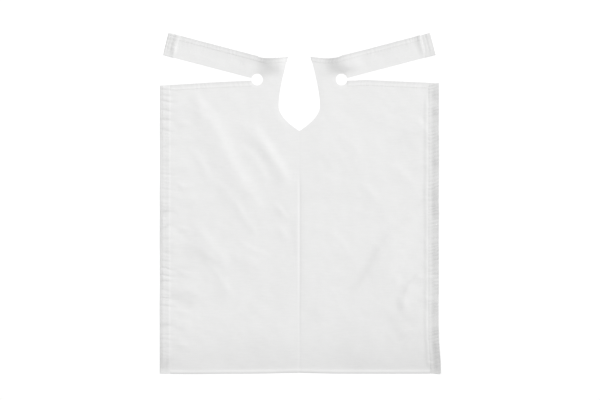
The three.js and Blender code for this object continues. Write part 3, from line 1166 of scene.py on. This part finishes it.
class ApronStageSettings(PropertyGroup):
    floor_size: length_setting("Floor size", "Width of the floor", 14.0, 2, 100)
    floor_colour: colour_setting("Floor colour", "Colour of the floor", (0.97, 0.97, 0.97))
    sky: FloatProperty(
        name="Fill light", description="Strength of the light from all round", default=0.48, min=0, max=10)
    key_strength: FloatProperty(
        name="Key light", description="Strength of the soft distant lamp", default=2.28, min=0, max=50)
    key_elevation: FloatProperty(
        name="Key height", description="Angle of the distant lamp over the floor", default=math.radians(48),
        min=math.radians(5), max=math.radians(90), subtype="ANGLE", unit="ROTATION")
    top_power: FloatProperty(
        name="Top light", description="Power of the lamp beyond the neck", default=9.0, min=0, max=5000,
        subtype="POWER", unit="POWER")
    lens: FloatProperty(
        name="Lens", description="Focal length of the camera", default=85.0, min=10, max=300,
        subtype="DISTANCE_CAMERA")
    camera_height: length_setting(
        "Camera height", "Height of the camera over the floor", 3.879, 0.5, 20)


class ApronSettings(PropertyGroup):
    cloth: PointerProperty(type=ApronClothSettings, name="Cloth", description="The cloth")
    hem: PointerProperty(type=ApronHemSettings, name="Hems", description="The turned hems")
    stitch: PointerProperty(type=ApronStitchSettings, name="Stitching", description="The stitching")
    lie: PointerProperty(type=ApronLieSettings, name="Lie", description="How the cloth lies")
    stage: PointerProperty(type=ApronStageSettings, name="Stage", description="Floor, lamps and camera")


# ---------------- operators


CREASE_STEPS = (0, 1.2, 2.6, 4.2, 6.2, 8.8)  # the grid's first columns beside the crease, in millimetres
FINE_BAND = 62 * MM  # how far in from the side edges the columns are close together
EDGE_STEP, SEAM_STEP, TAB_STEP, BEND_STEP = 3.6 * MM, 3 * MM, 3.4 * MM, 2.4 * MM


def columns_to(reach, spacing):
    """Columns of the cloth's grid: close together at the centre crease and over the side hems."""
    half = list(CREASE_STEPS)
    while half[-1] * MM < reach:
        fine = half[-1] * MM > reach - FINE_BAND
        half.append(half[-1] + (EDGE_STEP / MM if fine else spacing / MM * 1.18))
    return np.array([-h for h in half[:0:-1]] + half) * MM


def grid_of(columns, rows):
    return np.stack(np.meshgrid(columns, rows), axis=-1).reshape(-1, 2)


def make_hems(*parts):
    for label, _ in SIDES:
        for part in parts:
            make_hem(f"{label}_{part}_hem")
    return {"FINISHED"}


class APRON_OT_front_cloth(Operator):
    """Make the front of the apron, one sheet from hem to hem and up to the neck"""

    bl_idname = "apron.front_cloth"
    bl_label = "Front Cloth"

    def execute(self, context):
        spacing = context.scene.apron.cloth.spacing
        below = BELOW[~((BELOW[:, 0] > SEAM_X) & (BELOW[:, 1] > HOLE_Y))]
        top = SHOULDER[SHOULDER[:, 0] < SEAM_X - NEAR]
        right = np.concatenate([
            spaced(np.concatenate([below, [SEAM_FOOT]]), EDGE_STEP)[:-1],
            spaced(np.array([SEAM_FOOT, SEAM_TOP]), SEAM_STEP),
            spaced(np.concatenate([top, NECK[1:]]), EDGE_STEP),
        ])
        loop = np.concatenate([right, mirror(right[1:-1][::-1], -1)])
        rows = np.arange(BOTTOM + 2 * MM, SEAM_TOP[1] + 6 * MM, spacing * 0.84)
        piece = cloth_piece("front_cloth", loop, grid_of(columns_to(HALF, spacing), rows), 1.6 * MM, as_is)
        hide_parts("left_front_panel", "right_front_panel")
        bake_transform(piece)
        return {"FINISHED"}


def root_outline():
    """The edge of the right tab's root: round the hole, out, across, and back along the shoulder."""
    start = math.atan2(SEAM_FOOT[1] - HOLE_Y, SEAM_FOOT[0] - HOLE_X)
    angles = np.linspace(start, RAISE, 26)
    rim = np.stack([HOLE_X + HOLE_R * np.cos(angles), HOLE_Y + HOLE_R * np.sin(angles)], axis=1)
    cut = spaced(tab_place(ROOT_END, np.array([0, TAB_WIDTH]), 1), SEAM_STEP)
    top = SHOULDER[SHOULDER[:, 0] > SEAM_X + NEAR]
    return np.concatenate([
        rim[:-1],
        spaced(np.array([rim[-1], cut[0]]), TAB_STEP)[:-1],
        cut[:-1],
        spaced(np.concatenate([[cut[-1]], top, [SEAM_TOP]]), TAB_STEP)[:-1],
        spaced(np.array([SEAM_TOP, SEAM_FOOT]), SEAM_STEP)[:-1],
    ])


def length_of_tab(name, loop, grid, side):
    """One length of a neck tab, drawn on the right and mirrored for the left."""
    loop, grid = mirror(loop, side), mirror(grid, side)
    if side < 0:
        loop = loop[::-1]
    piece = cloth_piece(f"{name}_cloth", loop, grid, 1.4 * MM, lambda p: unswung(p, side))
    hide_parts(name)
    carry(piece, name)


class APRON_OT_neck_tabs(Operator):
    """Make the two neck tabs, each in three lengths"""

    bl_idname = "apron.neck_tabs"
    bl_label = "Neck Tabs"

    def execute(self, context):
        root_grid = grid_of(
            np.arange(SEAM_X, SEAM_X + 70 * MM, TAB_STEP), np.arange(HOLE_Y, HOLE_Y + 90 * MM, TAB_STEP))
        for label, side in SIDES:
            length_of_tab(f"{label}_tab_root", root_outline(), root_grid, side)
            for part, low, high in (("middle", ROOT_END, MIDDLE_END), ("end", MIDDLE_END, TAB_LENGTH)):
                corners = [(low, 0), (high, 0), (high, TAB_WIDTH), (low, TAB_WIDTH), (low, 0)]
                edge = spaced(np.array(corners), BEND_STEP)[:-1]
                grid = grid_of(np.arange(low, high, BEND_STEP), np.arange(0, TAB_WIDTH, TAB_STEP))
                loop, grid = (tab_place(*places.T, 1) for places in (edge, grid))
                length_of_tab(f"{label}_tab_{part}", loop, grid, side)
        return {"FINISHED"}


class APRON_OT_side_hems(Operator):
    """Make the wide hems down the two sides"""

    bl_idname = "apron.side_hems"
    bl_label = "Side Hems"

    def execute(self, context):
        return make_hems("side")


class APRON_OT_bottom_hem(Operator):
    """Make the narrow hem along the bottom, across the centre crease"""

    bl_idname = "apron.bottom_hem"
    bl_label = "Bottom Hem"

    def execute(self, context):
        make_hem("bottom_hem")
        return {"FINISHED"}


class APRON_OT_wing_hems(Operator):
    """Make the hems along the lower edges of the two slits"""

    bl_idname = "apron.wing_hems"
    bl_label = "Wing Hems"

    def execute(self, context):
        return make_hems("wing")


class APRON_OT_shoulder_hems(Operator):
    """Make the hems along the tops of the shoulders"""

    bl_idname = "apron.shoulder_hems"
    bl_label = "Shoulder Hems"

    def execute(self, context):
        return make_hems("shoulder")


class APRON_OT_tab_hems(Operator):
    """Make the hems along the tops and across the ends of the neck tabs"""

    bl_idname = "apron.tab_hems"
    bl_label = "Tab Hems"

    def execute(self, context):
        return make_hems("tab_root", "tab_middle", "tab_end_top", "tab_end_side")


class APRON_OT_stitching(Operator):
    """Sew every hem down with rows of lockstitches"""

    bl_idname = "apron.stitching"
    bl_label = "Stitching"

    def execute(self, context):
        for hem, (line, inward, width, rows, _) in HEMS.items():
            for row, inset in rows.items():
                name = row if hem == "bottom_hem" else f"{hem.split('_')[0]}_{row}"
                stands_for(stitch_row(name, line, inward, inset, width, list(rows.values())), name)
        return {"FINISHED"}


FLOOR_DROP = 0.12 * MM  # from the cloth's underside down to the floor
KEY_HEADING = (0.86, 0.51)  # from the apron towards the distant lamp
TOP_LAMP = Vector((0, 2.2, 1.6))
MIDDLE = (1.6 * MM, 8.6 * MM)  # what the camera looks down on


def aimed(lamp, name, towards):
    """Names a lamp and turns it to shine from that direction."""
    lamp.name = name
    lamp.rotation_euler = towards.to_track_quat("Z", "Y").to_euler()
    return lamp.data


class APRON_OT_stage(Operator):
    """Make the floor, the lamps and the camera"""

    bl_idname = "apron.stage"
    bl_label = "Stage"

    def execute(self, context):
        look = context.scene.apron.stage
        self.make_floor(context, look)
        self.make_sky(context, look)
        high = look.key_elevation
        towards = Vector((KEY_HEADING[0] * math.cos(high), KEY_HEADING[1] * math.cos(high), math.sin(high)))
        bpy.ops.object.light_add(type="SUN", location=towards * 4)
        key = aimed(context.active_object, "key_lamp", towards)
        key.energy = look.key_strength
        key.angle = math.radians(14)
        bpy.ops.object.light_add(type="AREA", location=TOP_LAMP)
        top = aimed(context.active_object, "top_lamp", TOP_LAMP)
        top.energy = look.top_power
        top.size = 0.9
        bpy.ops.object.camera_add(location=(*MIDDLE, look.camera_height), rotation=(0, 0, 0))
        context.scene.camera = context.active_object
        camera = context.active_object.data
        camera.lens = look.lens
        camera.sensor_width = 36
        camera.clip_end = 50
        context.scene.view_settings.view_transform = "Standard"
        deselect()
        return {"FINISHED"}

    def make_floor(self, context, look):
        deselect()
        bpy.ops.mesh.primitive_plane_add(size=look.floor_size, location=(0, 0, -FLOOR_DROP))
        floor = context.active_object
        floor.name = "floor"
        paint = bpy.data.materials.new("pale_floor")
        finish = Finish(paint)
        colour = (*look.floor_colour, 1)
        finish.join(finish.nodes["Principled BSDF"], {
            "Base Color": colour, "Roughness": 0.9, "Specular IOR Level": 0.1})
        floor.data.materials.append(paint)
        floor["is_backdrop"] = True

    def make_sky(self, context, look):
        """Soft light from all round, and white where the camera sees past the floor."""
        world = bpy.data.worlds.new("studio")
        sky = Finish(world)
        seen = sky.nodes.new("ShaderNodeLightPath").outputs["Is Camera Ray"]
        strength = sky.math("MULTIPLY_ADD", seen, 1 - look.sky, look.sky)
        sky.join(sky.nodes["Background"], {"Color": (1, 1, 1, 1), "Strength": strength})
        context.scene.world = world


class APRON_PT_panel(Panel):
    """The apron's pieces"""

    bl_label = "Bib Apron"
    bl_idname = "APRON_PT_panel"
    bl_space_type = "VIEW_3D"
    bl_region_type = "UI"
    bl_category = "Apron"

    def draw(self, context):
        layout = self.layout
        for name in STEPS:
            layout.operator(f"apron.{name}")
        look = context.scene.apron
        for title, group in (("Cloth", look.cloth), ("Hems", look.hem), ("Stitching", look.stitch),
                             ("Lie", look.lie), ("Stage", look.stage)):
            box = layout.box()
            box.label(text=title)
            for key in group.__annotations__:
                box.prop(group, key)


STEPS = (
    "front_cloth", "neck_tabs", "side_hems", "bottom_hem", "wing_hems", "shoulder_hems", "tab_hems",
    "stitching", "stage",
)
CLASSES = (
    ApronClothSettings, ApronHemSettings, ApronStitchSettings, ApronLieSettings, ApronStageSettings,
    ApronSettings, APRON_OT_front_cloth, APRON_OT_neck_tabs, APRON_OT_side_hems, APRON_OT_bottom_hem,
    APRON_OT_wing_hems, APRON_OT_shoulder_hems, APRON_OT_tab_hems, APRON_OT_stitching, APRON_OT_stage,
    APRON_PT_panel,
)


def register():
    for cls in CLASSES:
        bpy.utils.register_class(cls)
    bpy.types.Scene.apron = PointerProperty(type=ApronSettings, name="Apron", description="The bib apron")


def unregister():
    del bpy.types.Scene.apron
    for cls in reversed(CLASSES):
        bpy.utils.unregister_class(cls)


def main():
    register()
    for step in STEPS:
        getattr(bpy.ops.apron, step)()
    boxes = {"cad": CAD_BOX, "visual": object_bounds()}
    boxes = {kind: [list(corner) for corner in box] for kind, box in boxes.items()}


if __name__ == "__main__":
    main()
